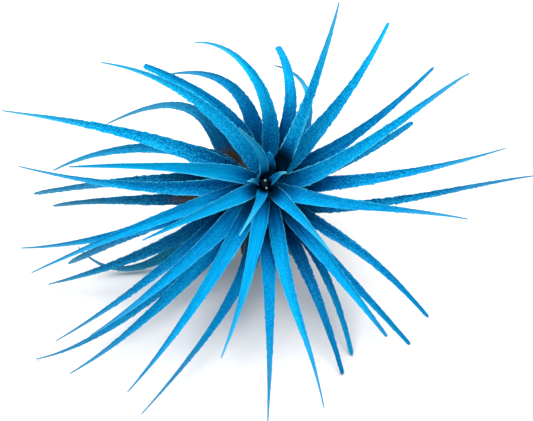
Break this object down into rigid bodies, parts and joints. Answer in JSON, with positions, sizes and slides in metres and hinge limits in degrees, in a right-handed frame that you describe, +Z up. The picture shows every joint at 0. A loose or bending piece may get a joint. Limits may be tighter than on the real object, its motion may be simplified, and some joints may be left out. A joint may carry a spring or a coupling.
{
  "type": "sky plant",
  "caption": "Dyed blue air plant: an open rosette of narrow channelled leaves with recurved tips, on a short sheathed stem that stands on a small flat foot.",
  "frame": {"origin": "middle of the small flat spot under the stem's foot, on the surface that the plant stands on", "axes": "+Z up; +X to the right across the rosette; the rosette's axis leans 40 degrees from the vertical towards -Y, the side it is seen from"},
  "size_m": [0.1273, 0.085, 0.0758],
  "materials": {
    "stem": "dry brown, with old sheath scars",
    "fresh_blue_leaf": "dyed bright blue, satin, ribbed along the leaf, scaly outside",
    "deep_blue_leaf": "dyed deep blue, matte and granular with fine scales",
    "teal_leaf": "thinly dyed teal blue, matte and granular, brown at the root",
    "dry_sheath": "dry papery brown"
  },
  "bodies": {
    "root": {"stem": "stem", "leaf_01_bud_left": "fresh_blue_leaf", "leaf_02_bud_right": "fresh_blue_leaf", "leaf_03_bud_low": "fresh_blue_leaf", "leaf_04_bud_high": "fresh_blue_leaf", "leaf_05_high": "fresh_blue_leaf", "leaf_06_low_right": "fresh_blue_leaf", "leaf_07_left": "fresh_blue_leaf", "leaf_08_low": "fresh_blue_leaf", "leaf_09_high": "fresh_blue_leaf", "leaf_10_left": "fresh_blue_leaf", "leaf_11_right": "fresh_blue_leaf", "leaf_12_low_left": "fresh_blue_leaf", "leaf_13_low": "fresh_blue_leaf", "leaf_14_right": "fresh_blue_leaf", "leaf_15_high_left": "fresh_blue_leaf", "leaf_16_left": "fresh_blue_leaf", "leaf_17_left": "fresh_blue_leaf", "leaf_18_low_left": "fresh_blue_leaf", "leaf_19_low": "fresh_blue_leaf", "leaf_20_low_right": "fresh_blue_leaf", "leaf_21_high_right": "fresh_blue_leaf", "leaf_22_right": "fresh_blue_leaf", "leaf_23_left": "deep_blue_leaf", "leaf_24_left": "deep_blue_leaf", "leaf_25_low_left": "deep_blue_leaf", "leaf_26_low_right": "deep_blue_leaf", "leaf_27_high_right": "deep_blue_leaf", "leaf_28_high": "deep_blue_leaf", "leaf_29_left": "deep_blue_leaf", "leaf_30_low_left": "deep_blue_leaf", "leaf_31_low": "deep_blue_leaf", "leaf_32_low_right": "deep_blue_leaf", "leaf_33_right": "deep_blue_leaf", "leaf_34_high_left": "deep_blue_leaf", "leaf_35_high": "deep_blue_leaf", "leaf_36_left": "teal_leaf", "leaf_37_low_left": "teal_leaf", "leaf_38_low": "teal_leaf", "leaf_39_low_right": "teal_leaf", "leaf_40_right": "teal_leaf", "leaf_41_high": "teal_leaf", "leaf_42_high": "teal_leaf", "leaf_43_left": "teal_leaf", "leaf_44_low_left": "teal_leaf", "leaf_45_low_right": "teal_leaf", "leaf_46_high_left": "teal_leaf", "leaf_47_left": "teal_leaf", "leaf_48_low_left": "teal_leaf", "dry_sheath_01_right": "dry_sheath", "dry_sheath_02_right": "dry_sheath", "dry_sheath_03_back": "dry_sheath", "dry_sheath_04_back": "dry_sheath", "dry_sheath_05_left": "dry_sheath", "dry_sheath_06_left": "dry_sheath", "dry_sheath_07_front": "dry_sheath", "dry_sheath_08_front": "dry_sheath", "dry_sheath_09_right": "dry_sheath", "dry_sheath_10_back": "dry_sheath", "dry_sheath_11_left": "dry_sheath"}
  },
  "joints": []
}
